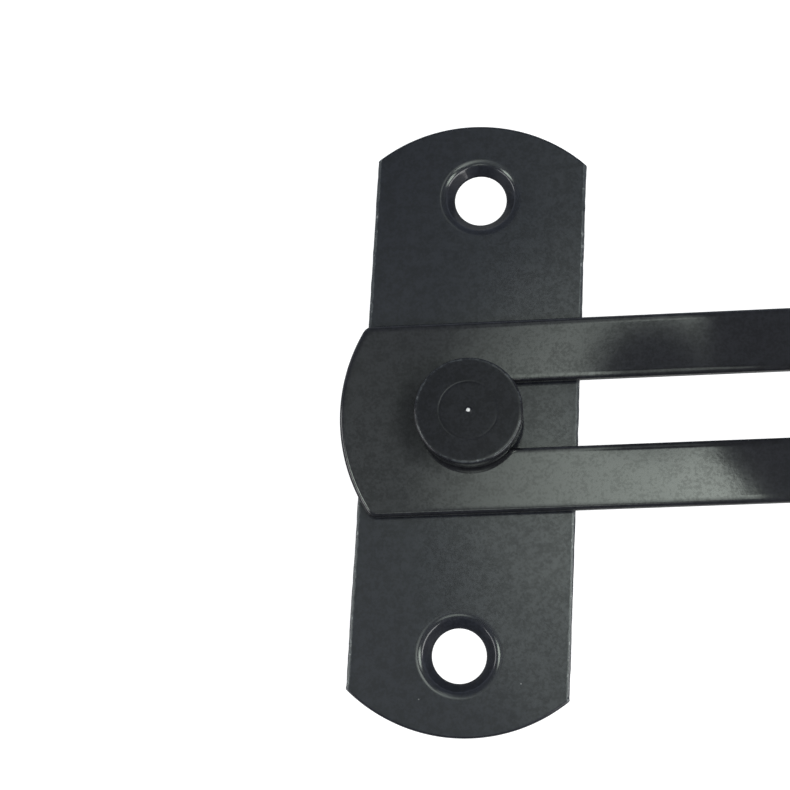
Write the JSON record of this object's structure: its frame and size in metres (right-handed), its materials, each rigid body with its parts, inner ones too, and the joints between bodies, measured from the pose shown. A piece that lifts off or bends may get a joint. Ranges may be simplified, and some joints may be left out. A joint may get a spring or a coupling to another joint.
{
  "type": "casement window stay",
  "caption": "Flat slotted stay arm that slides and turns on a headed stud, with a screw-on plate at each end, to hold a casement window open.",
  "frame": {"origin": "the slide stud's axis at the back face of the frame plate", "axes": "+X along the arm towards the sash plate, +Z along the studs away from the backs of the plates"},
  "size_m": [0.2, 0.0868, 0.0073],
  "materials": {
    "black_coating": "satin black coating",
    "black_nylon": "matt black nylon",
    "spring_steel": "oiled spring steel"
  },
  "bodies": {
    "frame_side": {"frame_plate": "black_coating", "slide_stud": "black_coating", "slide_spacer_washer": "black_nylon", "slide_thrust_washer": "black_nylon", "slide_disc_spring": "spring_steel"},
    "slider": {"slide_block": "black_nylon"},
    "arm": {"stay_arm": "black_coating", "pivot_bush": "black_nylon"},
    "sash_side": {"sash_plate": "black_coating", "pivot_stud": "black_coating", "pivot_spacer_washer": "black_nylon", "pivot_thrust_washer": "black_nylon", "pivot_disc_spring": "spring_steel"}
  },
  "joints": [
    {"name": "arm_swivel", "type": "hinge", "parent": "frame_side", "child": "slider", "pos_m": [0, 0, 0], "axis": [0, 0, 1], "continuous": true},
    {"name": "arm_slide", "type": "slide", "parent": "slider", "child": "arm", "axis": [-1, 0, 0], "range_m": [0, 0.0755]},
    {"name": "sash_pivot", "type": "hinge", "parent": "arm", "child": "sash_side", "pos_m": [0.164, 0, 0], "axis": [0, 0, 1], "continuous": true}
  ]
}
